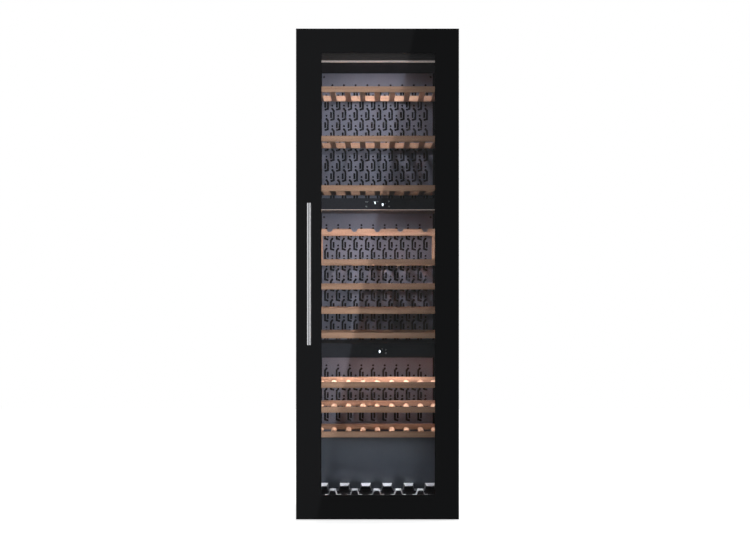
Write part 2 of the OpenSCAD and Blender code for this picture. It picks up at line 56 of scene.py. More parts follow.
glass_low, glass_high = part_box("door_outer_glass")
print_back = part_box("door_border_print")[1].y
front_y = glass_low.y
bodies = frame["record"]["behaviour"]["bodies"]
body_of_node = {node: body for body, members in bodies.items() for node in members}
shelf_nodes = sorted(n for n in nodes if "_shelf_" in n)
slide_nodes = sorted(n for n in nodes if "_slides_" in n)


# ---- Camera ----

CAMERA_DISTANCE = 7.45
CAMERA_HEIGHT = 0.8863
CAMERA_X = -0.0091
LENS_MM = 97.97
SENSOR_MM = 36.0
VIEW_REACH = 100.0

camera_data = bpy.data.cameras.new("camera")
camera_data.lens = LENS_MM
camera_data.sensor_width = SENSOR_MM
camera_data.clip_end = VIEW_REACH
camera = bpy.data.objects.new("camera", camera_data)
camera.location = (CAMERA_X, front_y - CAMERA_DISTANCE, CAMERA_HEIGHT)
camera.rotation_euler = (math.radians(90), 0, 0)
bpy.context.scene.collection.objects.link(camera)
bpy.context.scene.camera = camera
bpy.context.scene.view_settings.view_transform = "Standard"


# ---- Material helpers ----

def new_material(name):
    """A new node material, its node tree and its Principled shader, which is linked to the output."""
    material = bpy.data.materials.new(name)
    material.use_nodes = True
    tree = material.node_tree
    tree.nodes.clear()
    output = tree.nodes.new("ShaderNodeOutputMaterial")
    shader = tree.nodes.new("ShaderNodeBsdfPrincipled")
    tree.links.new(shader.outputs[0], output.inputs[0])
    return material, tree, shader


def add(tree, kind, inputs=None, **settings):
    """A node with its settings, and each input set to a value or linked to a socket."""
    node = tree.nodes.new(kind)
    for key, value in settings.items():
        setattr(node, key, value)
    for key, value in (inputs or {}).items():
        if isinstance(value, bpy.types.NodeSocket):
            tree.links.new(value, node.inputs[key])
        else:
            node.inputs[key].default_value = value
    return node


def coordinates(tree, scale=(1, 1, 1)):
    """Object coordinates stretched by a scale."""
    source = add(tree, "ShaderNodeTexCoord")
    return add(tree, "ShaderNodeMapping", {0: source.outputs["Object"], "Scale": scale}).outputs[0]


def noise(tree, where, scale, detail, roughness=0.5):
    """A 0 to 1 noise of so many patches to a metre."""
    return add(tree, "ShaderNodeTexNoise", {"Vector": where, "Scale": scale, "Detail": detail,
                                            "Roughness": roughness}).outputs[0]


def ramp(tree, factor, stops):
    """A colour ramp through (position, colour) stops."""
    node = add(tree, "ShaderNodeValToRGB", {0: factor})
    elements = node.color_ramp.elements
    while len(elements) < len(stops):
        elements.new(0.5)
    for element, (position, colour) in zip(elements, stops):
        element.position = position
        element.color = (*colour, 1)
    return node.outputs[0]


def spread(tree, factor, low, high):
    """A number from a 0 to 1 factor, between low and high."""
    return add(tree, "ShaderNodeMapRange", {0: factor, 3: low, 4: high}).outputs[0]


def bump(tree, shader, height, strength, distance):
    """Raises a shader's surface by a height from 0 to 1, over a distance in metres."""
    node = add(tree, "ShaderNodeBump", {"Height": height, "Strength": strength, "Distance": distance})
    tree.links.new(node.outputs[0], shader.inputs["Normal"])


def link(tree, source, shader, name):
    """Links a socket to a shader's input of that name."""
    tree.links.new(source, shader.inputs[name])


def set_gloss(material, level):
    """Sets how strongly a painted or glass surface mirrors: 0.5 is a common plastic's, 0 is none."""
    material.node_tree.nodes["Principled BSDF"].inputs["Specular IOR Level"].default_value = level


# ---- Materials ----

BROAD_SCALE = 9.0


def painted(name, colour, rough, speckle=0.12, scale=900.0, bumpiness=0.06):
    """Sprayed or moulded surface: a faintly mottled colour, an orange-peel bump and patchy gloss."""
    material, tree, shader = new_material(name)
    where = coordinates(tree)
    fine = noise(tree, where, scale, 2.0)
    broad = noise(tree, where, BROAD_SCALE, 4.0)
    dark = [c * (1 - speckle) for c in colour]
    light = [c * (1 + speckle) for c in colour]
    link(tree, ramp(tree, broad, [(0.3, dark), (0.7, light)]), shader, "Base Color")
    link(tree, spread(tree, broad, rough * 0.85, rough * 1.15), shader, "Roughness")
    bump(tree, shader, fine, bumpiness, 0.4 * MM)
    return material


def brushed(name, colour, rough, direction, metallic=1.0):
    """Metal with fine lines along one axis, which are long on that axis and close together across it."""
    material, tree, shader = new_material(name)
    along, across = 4.0, 900.0
    where = coordinates(tree, [along if axis == direction else across for axis in "xyz"])
    lines = noise(tree, where, 1.0, 4.0, 0.7)
    shade = [c * 0.86 for c in colour]
    link(tree, ramp(tree, lines, [(0.25, shade), (0.75, colour)]), shader, "Base Color")
    link(tree, spread(tree, lines, rough * 0.75, rough * 1.25), shader, "Roughness")
    shader.inputs["Metallic"].default_value = metallic
    bump(tree, shader, lines, 0.04, 0.2 * MM)
    return material


GLASS_IOR = 1.5


def glass(name, colour):
    """Clear glass with faint wisps in its tint. Lamps shine through it, as they do through a real pane."""
    material, tree, shader = new_material(name)
    wisps = noise(tree, coordinates(tree), 3.0, 2.0)
    shade = [c * 0.985 for c in colour]
    link(tree, ramp(tree, wisps, [(0.3, shade), (0.7, colour)]), shader, "Base Color")
    shader.inputs["Roughness"].default_value = 0.0
    shader.inputs["IOR"].default_value = GLASS_IOR
    shader.inputs["Transmission Weight"].default_value = 1.0
    lamp_ray = add(tree, "ShaderNodeLightPath").outputs["Is Shadow Ray"]
    clear = add(tree, "ShaderNodeBsdfTransparent", {0: (*colour, 1)})
    mixed = add(tree, "ShaderNodeMixShader", {0: lamp_ray, 1: shader.outputs[0], 2: clear.outputs[0]})
    output = next(n for n in tree.nodes if n.type == "OUTPUT_MATERIAL")
    tree.links.new(mixed.outputs[0], output.inputs[0])
    return material


BEECH_TONES = [(0.28, (0.35, 0.197, 0.132)), (0.5, (0.46, 0.274, 0.192)), (0.75, (0.56, 0.352, 0.257))]


def wood(name, along_x, seed, shade):
    """Beech: long growth lines along X or Y, short dark pores and a soft sheen, its tones times shade, a
    factor that above 1 is painted light.
    """
    material, tree, shader = new_material(name)
    grain_scale = (3.0, 60.0, 75.0) if along_x else (60.0, 3.0, 75.0)
    pore_scale = (90.0, 900.0, 1000.0) if along_x else (900.0, 90.0, 1000.0)
    where = coordinates(tree, grain_scale)
    shifted = add(tree, "ShaderNodeVectorMath", {0: where, 1: (seed, seed * 2.3, 0)})
    grain = noise(tree, shifted.outputs[0], 1.0, 5.0, 0.62)
    pores = noise(tree, coordinates(tree, pore_scale), 1.0, 2.0)
    base = ramp(tree, grain, [(place, [c * shade for c in tone]) for place, tone in BEECH_TONES])
    flecks = ramp(tree, pores, [(0.32, (0.72, 0.66, 0.6)), (0.42, (1, 1, 1))])
    colour = add(tree, "ShaderNodeMix", {0: 0.6, 6: base, 7: flecks},
                 data_type="RGBA", blend_type="MULTIPLY")
    link(tree, colour.outputs[2], shader, "Base Color")
    link(tree, spread(tree, grain, 0.5, 0.62), shader, "Roughness")
    bump(tree, shader, grain, 0.12, 0.5 * MM)
    return material


def glowing(name, colour, strength):
    """A hazy diffuser or mark that glows. It is left out of lamp sampling, since lamps do the lighting."""
    material, tree, shader = new_material(name)
    shader.inputs["Base Color"].default_value = (*[c * 0.8 for c in colour], 1)
    haze = noise(tree, coordinates(tree), 140.0, 2.0)
    link(tree, spread(tree, haze, 0.45, 0.6), shader, "Roughness")
    shader.inputs["Emission Color"].default_value = (*colour, 1)
    shader.inputs["Emission Strength"].default_value = strength
    material.cycles.emission_sampling = "NONE"
    return material


casing = painted("casing_paint", (0.035, 0.035, 0.038), 0.42)
liner = painted("liner_plastic", (0.01, 0.01, 0.0115), 0.42, scale=700.0, bumpiness=0.12)
set_gloss(liner, 0.12)
frame_paint = painted("frame_paint", (0.05, 0.043, 0.044), 0.45)
ceiling_black = painted("ceiling_plastic", (0.009, 0.0092, 0.017), 0.9, scale=700.0, bumpiness=0.12)
set_gloss(ceiling_black, 0.0)
sheet_grey = painted("back_panel_paint", (0.19, 0.2, 0.27), 0.5, 0.05, 1200.0, 0.08)
step_grey = painted("step_paint", (0.045, 0.052, 0.064), 0.42, 0.06, 1100.0, 0.05)
border_black = painted("printed_glass", (0.005, 0.0053, 0.0062), 0.03, 0.04, 40.0, 0.004)
set_gloss(border_black, 1.0)
fascia_black = painted("fascia_gloss", (0.045, 0.046, 0.06), 0.12, 0.05, 300.0, 0.01)
rubber = painted("gasket_rubber", (0.045, 0.038, 0.038), 0.7, 0.1, 500.0, 0.15)
foot_rubber = painted("foot_rubber", (0.012, 0.012, 0.012), 0.75, 0.1, 500.0, 0.2)
fan_plastic = painted("fan_plastic", (0.02, 0.02, 0.022), 0.5, 0.08, 600.0, 0.1)
socket_plastic = painted("socket_plastic", (0.012, 0.012, 0.012), 0.45)
screw_black = painted("black_screws", (0.03, 0.03, 0.035), 0.4, 0.1, 400.0, 0.05)
bush_plastic = painted("bush_plastic", (0.7, 0.69, 0.65), 0.5)
pot_enamel = painted("compressor_enamel", (0.012, 0.012, 0.012), 0.22, 0.1, 120.0, 0.05)
foam = painted("foam", (0.8, 0.72, 0.45), 0.9, 0.1, 250.0, 0.3)
handle_steel = brushed("handle_steel", (0.8, 0.8, 0.83), 0.13, "z")
rack_steel = brushed("rack_steel", (0.86, 0.85, 0.9), 0.34, "x", 0.25)
# Black painted shade for the rack: the rear rests' slopes, feet and flats and the side ties
rack_painted_shade = painted("rack_painted_shade", (0.02, 0.02, 0.024), 0.5, 0.1, 500.0, 0.1)
zinc = brushed("zinc_steel", (0.56, 0.56, 0.57), 0.32, "y")
# Black fins: behind the back panels' slots this is painted shade that keeps the slots dark; the condenser
# shares the material
fins = painted("black_fins_and_slot_shade", (0.012, 0.012, 0.013), 0.5, 0.1, 300.0, 0.05)
outer_glass = glass("outer_glass", (0.9, 0.91, 0.915))
inner_glass = glass("inner_glass", (0.94, 0.955, 0.95))
set_gloss(inner_glass, 0.15)
wood_rail = wood("beech_rail", True, 1.7, 1.0)
# The slats are the rails' beech made 1.25 times lighter, as painted light for their brightly lit tops
wood_slat_painted_light = wood("beech_slat_painted_light", False, 5.1, 1.25)
diffuser = glowing("lamp_diffuser", (1.0, 0.87, 0.84), 0.2)
digit_glow = glowing("digit_glow", (0.9, 0.95, 1.0), 3.0)
icon_glow = glowing("icon_glow", (0.75, 0.8, 0.85), 0.12)

NODE_MATERIALS = {
    "side_panels": casing, "top_panel": casing, "rear_panel": casing, "base_tray": casing,
    "insulation_foam": foam, "inner_liner": liner, "front_frame": frame_paint,
    "ceiling_cover": ceiling_black, "upper_back_panel": sheet_grey, "middle_back_panel": sheet_grey,
    "lower_back_panel": sheet_grey, "back_panel_screws": screw_black, "zone_dividers": liner,
    "control_fascias": fascia_black, "light_bars": diffuser, "step_cover": step_grey,
    "evaporators": fins, "fan_housings": fan_plastic, "upper_fan": fan_plastic, "middle_fan": fan_plastic,
    "lower_fan": fan_plastic, "compressor": pot_enamel, "condenser": fins,
    "condenser_fan_mount": fan_plastic, "condenser_fan": fan_plastic,
    "bottle_rack": rack_steel, "cabinet_runners": zinc,
    "hinge_brackets": zinc, "levelling_feet": foot_rubber, "power_inlet": socket_plastic,
    "door_outer_glass": outer_glass, "door_border_print": border_black, "door_frame": frame_paint,
    "glass_spacer": frame_paint, "door_inner_glass": inner_glass, "door_gasket": rubber,
    "handle_bar": handle_steel, "handle_posts": handle_steel, "hinge_bushes": bush_plastic,
    "display_riser": wood_rail,
}
NODE_MATERIALS.update({name: wood_slat_painted_light for name in shelf_nodes})
NODE_MATERIALS.update({name: zinc for name in slide_nodes})
for name, material in NODE_MATERIALS.items():
    mesh = nodes[name].data
    mesh.materials.clear()
    mesh.materials.append(material)


# ---- Mesh helpers ----

def make_piece(name, mesh_maker, material, body, stands_for=()):
    """A mesh piece filled by mesh_maker(bmesh). It rides on body and stands for the named nodes."""
    mesh = bpy.data.meshes.new(name)
    built = bmesh.new()
    mesh_maker(built)
    bmesh.ops.recalc_face_normals(built, faces=built.faces)
    built.to_mesh(mesh)
    built.free()
    mesh.materials.append(material)
    piece = bpy.data.objects.new(name, mesh)
    bpy.context.scene.collection.objects.link(piece)
    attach(piece, body)
    if stands_for:
        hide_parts(*stands_for)
    return piece


def add_box(built, low, high):
    """Adds a box between two corners."""
    made = bmesh.ops.create_cube(built, size=1.0)
    size = Vector(high) - Vector(low)
    middle = (Vector(high) + Vector(low)) / 2
    for vert in made["verts"]:
        vert.co = Vector(vert.co[i] * size[i] + middle[i] for i in range(3))


def bevel(piece, name, width, segments, angle):
    """Rounds the edges of a piece that turn by more than an angle in degrees."""
    modifier = piece.modifiers.new(name, "BEVEL")
    modifier.width = width
    modifier.segments = segments
    modifier.limit_method = "ANGLE"
    modifier.angle_limit = math.radians(angle)
    return modifier


def soften(piece, width, angle):
    """Rounds a piece's edges and shades it smooth."""
    bevel(piece, "edges", width, 2, angle).harden_normals = True
    for polygon in piece.data.polygons:
        polygon.use_smooth = True


# ---- Door: one outer pane, black where it is printed and clear in the window ----

spacer_low, spacer_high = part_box("glass_spacer")
SPACER_BAND = 9.8 * MM
window_low = Vector((spacer_low.x + SPACER_BAND, 0, spacer_low.z + SPACER_BAND))
window_high = Vector((spacer_high.x - SPACER_BAND, 0, spacer_high.z - SPACER_BAND))
GLASS, PRINTED = 0, 1


def outer_pane(built):
    """A slab with its edges and border printed black, its window clear, and print on the border's back."""
    corners = [[(low.x, low.z), (high.x, low.z), (high.x, high.z), (low.x, high.z)]
               for low, high in ((glass_low, glass_high), (window_low, window_high))]
    front_outer, front_window = ([built.verts.new((x, front_y, z)) for x, z in c] for c in corners)
    back_outer, back_print = ([built.verts.new((x, print_back, z)) for x, z in c] for c in corners)
    back_window = [built.verts.new((x, glass_high.y, z)) for x, z in corners[1]]
    for ring_a, ring_b in ((front_outer, front_window), (back_outer, back_print),
                           (front_outer, back_outer), (back_print, back_window)):
        for i in range(4):
            j = (i + 1) % 4
            built.faces.new((ring_a[i], ring_a[j], ring_b[j], ring_b[i])).material_index = PRINTED
    for window in (front_window, back_window):
        built.faces.new(window).material_index = GLASS


door_pane = make_piece("door_outer_pane", outer_pane, outer_glass, "door",
                       ["door_outer_glass", "door_border_print"])
door_pane.data.materials.append(border_black)
ARRIS = 0.7 * MM
bevel(door_pane, "arris", ARRIS, 2, 60).material = PRINTED


# ---- Shelves: rails and slats with eased edges, on each shelf's body ----

RAIL_T = 18 * MM
SLAT_PITCH = 55.5 * MM
SLAT_W = 21 * MM
END_SLAT_W = 26 * MM
SLAT_SHOULDER = 7 * MM
SLAT_H = 10 * MM
# Up a slat's right side: shares of its shoulder in from the edge, and of its height
SLAT_CROWN = [(0, 0), (0, 0.4), (0.35, 0.72), (0.8, 0.94), (1.15, 1)]
EASED = 0.5 * MM
SLAT = 1


def shelf_mesh(low, high):
    """Two rails across and nine slats between them, whose shoulders are rounded."""
    def build(built):
        for y in (low.y, high.y - RAIL_T):
            add_box(built, (low.x, y, low.z), (high.x, y + RAIL_T, high.z))
        end_x = high.x - END_SLAT_W / 2
        slats = [(i * SLAT_PITCH, SLAT_W) for i in range(-3, 4)]
        slats += [(-end_x, END_SLAT_W), (end_x, END_SLAT_W)]
        for x, width in slats:
            right = [(width / 2 - SLAT_SHOULDER * inset, SLAT_H * rise) for inset, rise in SLAT_CROWN]
            crown = right + [(-dx, dz) for dx, dz in reversed(right)]
            first, last = ([built.verts.new((x + dx, y, low.z + dz)) for dx, dz in crown]
                           for y in (low.y + RAIL_T, high.y - RAIL_T))
            faces = [built.faces.new(first), built.faces.new(list(reversed(last)))]
            for j in range(len(crown)):
                k = (j + 1) % len(crown)
                faces.append(built.faces.new((first[j], last[j], last[k], first[k])))
            for face in faces:
                face.material_index = SLAT
    return build


timber_pieces = []
for name in shelf_nodes:
    shelf = make_piece(name + "_timber", shelf_mesh(*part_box(name)), wood_rail, body_of_node[name],
                       [name])
    shelf.data.materials.append(wood_slat_painted_light)
    soften(shelf, EASED, 35)
    timber_pieces.append(shelf)


# ---- Display board: flared neck notches and two posts ----

BOARD_EASED = 0.8 * MM
BOARD_H = 27.5 * MM
POST_W = 18 * MM
NOTCH_X = [-185 * MM, -89 * MM, 0.0, 89 * MM, 185 * MM]
NOTCH_DEPTH = 12.6 * MM
NOTCH_R = 11.5 * MM
FLARE_R = 5.5 * MM
ARC_STEPS = 10


def notch_outline(x, top):
    """Points down one flared shoulder, round the bottom and up the other, from left to right."""
    centre_z = top - NOTCH_DEPTH + NOTCH_R
    reach = NOTCH_R + FLARE_R
    flare_z = top - FLARE_R
    flare_x = math.sqrt(max(reach ** 2 - (centre_z - flare_z) ** 2, 0))
    turn = math.atan2(flare_z - centre_z, flare_x)
    left = []
    for i in range(ARC_STEPS + 1):
        angle = math.pi / 2 + (math.pi / 2 + turn) * -i / ARC_STEPS
        left.append((x - flare_x + FLARE_R * math.cos(angle), flare_z + FLARE_R * math.sin(angle)))
    bottom = []
    start = math.pi - turn
    for i in range(1, 2 * ARC_STEPS):
        angle = start + (math.pi + 2 * turn) * i / (2 * ARC_STEPS)
        bottom.append((x + NOTCH_R * math.cos(angle), centre_z + NOTCH_R * math.sin(angle)))
    right = [(2 * x - px, pz) for px, pz in reversed(left)]
    return left + bottom + right


def riser_mesh(built):
    """The notched board and its two posts, as one outline given the board's thickness."""
    low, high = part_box("display_riser")
    outline = [(low.x, low.z), (low.x, high.z)]
    for x in NOTCH_X:
        outline += notch_outline(x, high.z)
    outline += [(high.x, high.z), (high.x, low.z), (high.x - POST_W, low.z),
                (high.x - POST_W, high.z - BOARD_H), (low.x + POST_W, high.z - BOARD_H),
                (low.x + POST_W, low.z)]
    sides = [[built.verts.new((x, y, z)) for x, z in outline] for y in (low.y, high.y)]
    built.faces.new(sides[0])
    built.faces.new(list(reversed(sides[1])))
    for i in range(len(outline)):
        j = (i + 1) % len(outline)
        built.faces.new((sides[0][i], sides[1][i], sides[1][j], sides[0][j]))


riser = make_piece("presenter_board", riser_mesh, wood_rail, body_of_node["display_riser"],
                   ["display_riser"])
soften(riser, BOARD_EASED, 50)
timber_pieces.append(riser)


# ---- Floor rack: bent sheet rests, some of their faces bare steel and the others black as painted shade ----

rack_low, rack_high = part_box("bottle_rack")
RACK_PITCH = 81 * MM
RACK_T = 2 * MM
RACK_HALF_W = 232 * MM
TIE_W = 8 * MM
REAR_DEPTH = 105 * MM
FRONT_DEPTH = 70 * MM
REAR_FIRST_X = -206 * MM
# Half widths of a rest's top at its front and back, and of its base
REAR_HALVES = (14 * MM, 18.5 * MM, 20.5 * MM)
FRONT_HALVES = (8.5 * MM, 9.5 * MM, 16.5 * MM)
FOOT = 12 * MM
BEND_R = 2.5 * MM
# The rests' first material is bare steel, the second is black painted shade
BRIGHT, PAINTED_SHADE = 0, 1


def rest_sheet(built, centres, halves, span, bright, separate):
    """A sheet over several humps, from front to back over a span of y.

    halves are a hump's half widths. Every hump has six faces: the flat stretch before it, a foot,
    a slope, the top, a slope and a foot. bright has the places of those that are bare steel, and the
    others are black painted shade. Separate humps have no flat stretches.
    """
    low, high = rack_low.z + RACK_T / 2, rack_high.z - RACK_T / 2
    front_top, back_top, base = halves
    sections = []
    for y, top in ((span[0], front_top), (span[1], back_top)):
        line = [(-RACK_HALF_W, low)]
        for x in centres:
            line += [(x - base - FOOT, low), (x - base, low), (x - top, high),
                     (x + top, high), (x + base, low), (x + base + FOOT, low)]
        line.append((RACK_HALF_W, low))
        inside = [(max(-RACK_HALF_W, min(RACK_HALF_W, x)), z) for x, z in line]
        sections.append([built.verts.new((x, y, z)) for x, z in inside])
    front, back = sections
    for i in range(len(front) - 1):
        if i % 6 == 0 and separate:
            continue
        face = built.faces.new((front[i], front[i + 1], back[i + 1], back[i]))
        face.material_index = BRIGHT if i % 6 in bright else PAINTED_SHADE


def rack_mesh(built):
    """The rear and the front row of rests, and the flat tie at each side."""
    rear_span = (rack_high.y - REAR_DEPTH, rack_high.y)
    front_span = (rack_low.y, rack_low.y + FRONT_DEPTH)
    rear_centres = [REAR_FIRST_X + i * RACK_PITCH for i in range(6)]
    front_centres = [REAR_FIRST_X + (i + 0.5) * RACK_PITCH for i in range(5)]
    rest_sheet(built, rear_centres, REAR_HALVES, rear_span, (3,), False)
    rest_sheet(built, front_centres, FRONT_HALVES, front_span, (1, 2, 3, 4, 5), True)
    for side in (-1, 1):
        inner, outer = side * (RACK_HALF_W - TIE_W), side * RACK_HALF_W
        corners = [(inner, rack_low.y), (outer, rack_low.y), (outer, rack_high.y), (inner, rack_high.y)]
        tie = [built.verts.new((x, y, rack_low.z + RACK_T / 2)) for x, y in corners]
        # The ties are black painted shade too
        built.faces.new(tie).material_index = PAINTED_SHADE


rack = make_piece("bottle_rests", rack_mesh, rack_steel, body_of_node["bottle_rack"],
                  ["bottle_rack"])
rack.data.materials.append(rack_painted_shade)
bevel(rack, "bends", BEND_R, 3, 20)
sheet = rack.modifiers.new("sheet", "SOLIDIFY")
sheet.thickness = RACK_T
sheet.offset = 0.0


# ---- Control marks on the fascias: seven-segment digits, degree rings and small icons ----

fascia_low, fascia_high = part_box("control_fascias")
MARK_T = 0.3 * MM
SEGMENTS = {"5": "afgcd", "8": "abcdefg"}
DIGIT_H = 8 * MM
DIGIT_W = DIGIT_H * 0.52
STROKE = DIGIT_H * 0.16
RING_SIDES = 16


def digit_boxes(digit, x, z):
    """The spans in x and z of a digit's segments, centred on a point of the fascia."""
    x0, x1 = x - DIGIT_W / 2, x + DIGIT_W / 2
    z0, z1 = z - DIGIT_H / 2, z + DIGIT_H / 2
    spans = {
        "a": (x0, x1, z1 - STROKE, z1), "d": (x0, x1, z0, z0 + STROKE),
        "g": (x0, x1, z - STROKE / 2, z + STROKE / 2),
        "f": (x0, x0 + STROKE, z, z1), "e": (x0, x0 + STROKE, z0, z),
        "b": (x1 - STROKE, x1, z, z1), "c": (x1 - STROKE, x1, z0, z),
    }
    return [spans[segment] for segment in SEGMENTS[digit]]


def flat_marks(boxes, y):
    """Thin plates in front of a fascia, one for each span in x and z."""
    def build(built):
        for x0, x1, z0, z1 in boxes:
            add_box(built, (x0, y - MARK_T, z0), (x1, y, z1))
    return build


def ring_marks(rings, y):
    """Small rings of (x, z, radius, width)."""
    turns = [2 * math.pi * i / RING_SIDES for i in range(RING_SIDES)]

    def build(built):
        for x, z, radius, width in rings:
            outer_front, outer_back, inner_front, inner_back = (
                [built.verts.new((x + r * math.cos(a), depth, z + r * math.sin(a))) for a in turns]
                for r in (radius, radius - width) for depth in (y - MARK_T, y))
            for a, b in ((outer_front, inner_front), (outer_back, inner_back),
                         (outer_front, outer_back), (inner_front, inner_back)):
                for i in range(RING_SIDES):
                    j = (i + 1) % RING_SIDES
                    built.faces.new((a[i], a[j], b[j], b[i]))
    return build


# Marks are placed in millimetres, x from the cooler's middle and rise from their fascia's mark height.
# A digit is (digit, x, mark height, rise) and a ring is (x, rise, radius, width).
upper_mark_z = fascia_high.z - 17 * MM
lower_mark_z = fascia_low.z + 22.5 * MM
DIGITS = [("5", -9, upper_mark_z, 0), ("8", 19, upper_mark_z, -7), ("8", 8, lower_mark_z, 0)]
digits = [span for digit, x, z, rise in DIGITS for span in digit_boxes(digit, x * MM, z + rise * MM)]
make_piece("display_digits", flat_marks(digits, fascia_low.y), digit_glow, "cabinet")

dash = (-45 * MM, -34 * MM, upper_mark_z + 3 * MM, upper_mark_z + 4.2 * MM)
UPPER_RINGS = [(-41, -14, 2.6, 0.8), (42, 5, 2.6, 0.8), (42, -14, 2.6, 0.8), (1, 4, 1.4, 0.5),
               (29, -3, 1.4, 0.5)]
LOWER_RINGS = [(31, 7, 2.2, 0.7), (31, -6, 2.2, 0.7), (17, 9, 1.4, 0.5)]
rings = [(x * MM, middle_z + rise * MM, radius * MM, width * MM)
         for group, middle_z in ((UPPER_RINGS, upper_mark_z), (LOWER_RINGS, lower_mark_z))
         for x, rise, radius, width in group]
make_piece("control_icons", flat_marks([dash], fascia_low.y), icon_glow, "cabinet")
make_piece("control_rings", ring_marks(rings, fascia_low.y), icon_glow, "cabinet")


# ---- Interior lamps ----

def place_lamp(name, data, place, direction):
    """A lamp at a place, turned to shine along a direction."""
    lamp_object = bpy.data.objects.new(name, data)
    lamp_object.location = place
    lamp_object.rotation_euler = Vector(direction).to_track_quat("-Z", "Y").to_euler()
    bpy.context.scene.collection.objects.link(lamp_object)
    return lamp_object


def area_lamp(name, place, size, direction, power, colour, spread_angle=180):
    """A rectangular lamp of (width, height) in metres, with its power in watts."""
    data = bpy.data.lights.new(name, "AREA")
    data.shape = "RECTANGLE"
    data.size, data.size_y = size
    data.energy = power
    data.color = colour
    data.spread = math.radians(spread_angle)
    return place_lamp(name, data, place, direction)


def seen_only_by(piece, *rays):
    """Leaves a stage piece or lamp visible to the named kinds of ray only."""
    for ray in ("camera", "diffuse", "glossy", "transmission", "volume_scatter", "shadow"):
        setattr(piece, "visible_" + ray, ray in rays)


def lit_only(lamp_object, name, pieces):
    """Keeps a lamp's light to the named collection of pieces."""
    lit = bpy.data.collections.new(name)
    for piece in pieces:
        lit.objects.link(piece)
    lamp_object.light_linking.receiver_collection = lit


DOWN = (0, 0, -1.0)
BACKWARDS = (0, 1.0, 0)

bars_low, bars_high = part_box("light_bars")
lamp_y = (bars_low.y + bars_high.y) / 2
divider_low, divider_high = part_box("zone_dividers")
BAR_H = 4 * MM
LAMP_GAP = 0.6 * MM
UPPER_DIVIDER_H = 42.7 * MM
# Each zone's lamp height, power and colour, then the power, depth and tilt of the lamp on its timber
zone_lamps = {
    "upper": (bars_high.z - BAR_H - LAMP_GAP, 2.35, (1.0, 0.96, 0.96), 1.7, 0.2, 0.6),
    "middle": (divider_high.z - UPPER_DIVIDER_H - LAMP_GAP, 1.65, (1.0, 0.93, 0.91), 4.0, 0.2, 0.6),
    "lower": (divider_low.z - LAMP_GAP, 0.8, (1.0, 0.89, 0.85), 1.3, 0.3, 0.0),
}
LAMP_TILT = -1.12
LAMP_SHIFT = 0.035
LAMP_X = -0.03
LAMP_SIZE = (0.14, 0.02)
LAMP_SPREAD = 104
TIMBER_LAMP_SIZE = (0.4, 0.03)
for zone, (height, power, colour, timber_power, depth, tilt) in zone_lamps.items():
    main = area_lamp(zone + "_lamp", (LAMP_X, lamp_y + LAMP_SHIFT, height), LAMP_SIZE,
                     (0, 1.0, LAMP_TILT), power, colour, LAMP_SPREAD)
    extra = area_lamp(zone + "_timber_lamp", (0, lamp_y + depth, height), TIMBER_LAMP_SIZE,
                      (0, tilt, -1.0), timber_power, colour)
    seen_only_by(main, "diffuse")
    seen_only_by(extra, "diffuse")
    lit_only(extra, zone + "_timber", timber_pieces)

# A tall lamp in front of the door, for the fronts of the rails
front_fill = area_lamp("timber_front_lamp", (-0.11, -0.48, 1.0), size=(0.06, 1.96), direction=BACKWARDS,
                       power=4.3, colour=(1.0, 0.96, 0.92))
lit_only(front_fill, "front_timber", timber_pieces)
seen_only_by(front_fill, "diffuse")

# Over each shelf of the lower zone, a lamp for the tops of its slats
SLAT_LAMP_Y = 80 * MM
SLAT_LAMP_RISE = 50 * MM
for name, power in (("lower_shelf_1", 0.38), ("lower_shelf_2", 0.62), ("lower_shelf_3", 0.6)):
    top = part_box(name)[1].z
    slat_lamp = area_lamp(name + "_slat_lamp", (0, SLAT_LAMP_Y, top + SLAT_LAMP_RISE), size=(0.44, 0.1),
                          direction=DOWN, power=power, colour=(1.0, 0.95, 0.9), spread_angle=100)
    seen_only_by(slat_lamp, "diffuse")
    lit_only(slat_lamp, name + "_slats", [p for p in timber_pieces if p.name == name + "_timber"])

# Just below the lowest shelf, one lamp for the step and one for the rests
shelf_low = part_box("lower_shelf_1")[0]
UNDER_SHELF = 12 * MM
COOL_WHITE = (0.94, 0.96, 1.0)


def below_shelf(x, behind):
    """A place just below the lowest shelf, at a distance behind its front edge."""
    return (x, shelf_low.y + behind, shelf_low.z - UNDER_SHELF)


step_lamp = area_lamp("step_lamp", below_shelf(-0.03, 0.19), size=(0.4, 0.05), direction=(0, 0.6, -1.0),
                      power=0.3, colour=COOL_WHITE, spread_angle=120)
seen_only_by(step_lamp, "diffuse")
rest_lamp = area_lamp("rest_lamp", below_shelf(0, 0.15), size=(0.42, 0.05), direction=DOWN,
                      power=2.8, colour=COOL_WHITE)
lit_only(rest_lamp, "rests", [rack])


# ---- Studio: pale floor, soft lights, and what the door mirrors ----

def emission_material(name, colour, strength):
    """A plain glow for a card that only mirrors see."""
    material = bpy.data.materials.new(name)
    material.use_nodes = True
    tree = material.node_tree
    tree.nodes.clear()
    output = tree.nodes.new("ShaderNodeOutputMaterial")
    glow = add(tree, "ShaderNodeEmission", {0: (*colour, 1), 1: strength})
    tree.links.new(glow.outputs[0], output.inputs[0])
    material.cycles.emission_sampling = "NONE"
    return material


def card(name, corners, material):
    """A flat stage piece with the given corners."""
    mesh = bpy.data.meshes.new(name)
    mesh.from_pydata(corners, [], [range(len(corners))])
    mesh.materials.append(material)
    plane = bpy.data.objects.new(name, mesh)
    bpy.context.scene.collection.objects.link(plane)
    return plane


def straight_view(tree):
    """1 for what is seen directly or through glass, 0 for what surfaces mirror or are lit by."""
    rays = add(tree, "ShaderNodeLightPath")
    glossy, diffuse = rays.outputs["Glossy Depth"], rays.outputs["Diffuse Depth"]
    bounces = add(tree, "ShaderNodeMath", {0: glossy, 1: diffuse}, operation="ADD").outputs[0]
    return add(tree, "ShaderNodeMath", {0: bounces, 1: 0.5}, operation="LESS_THAN").outputs[0]


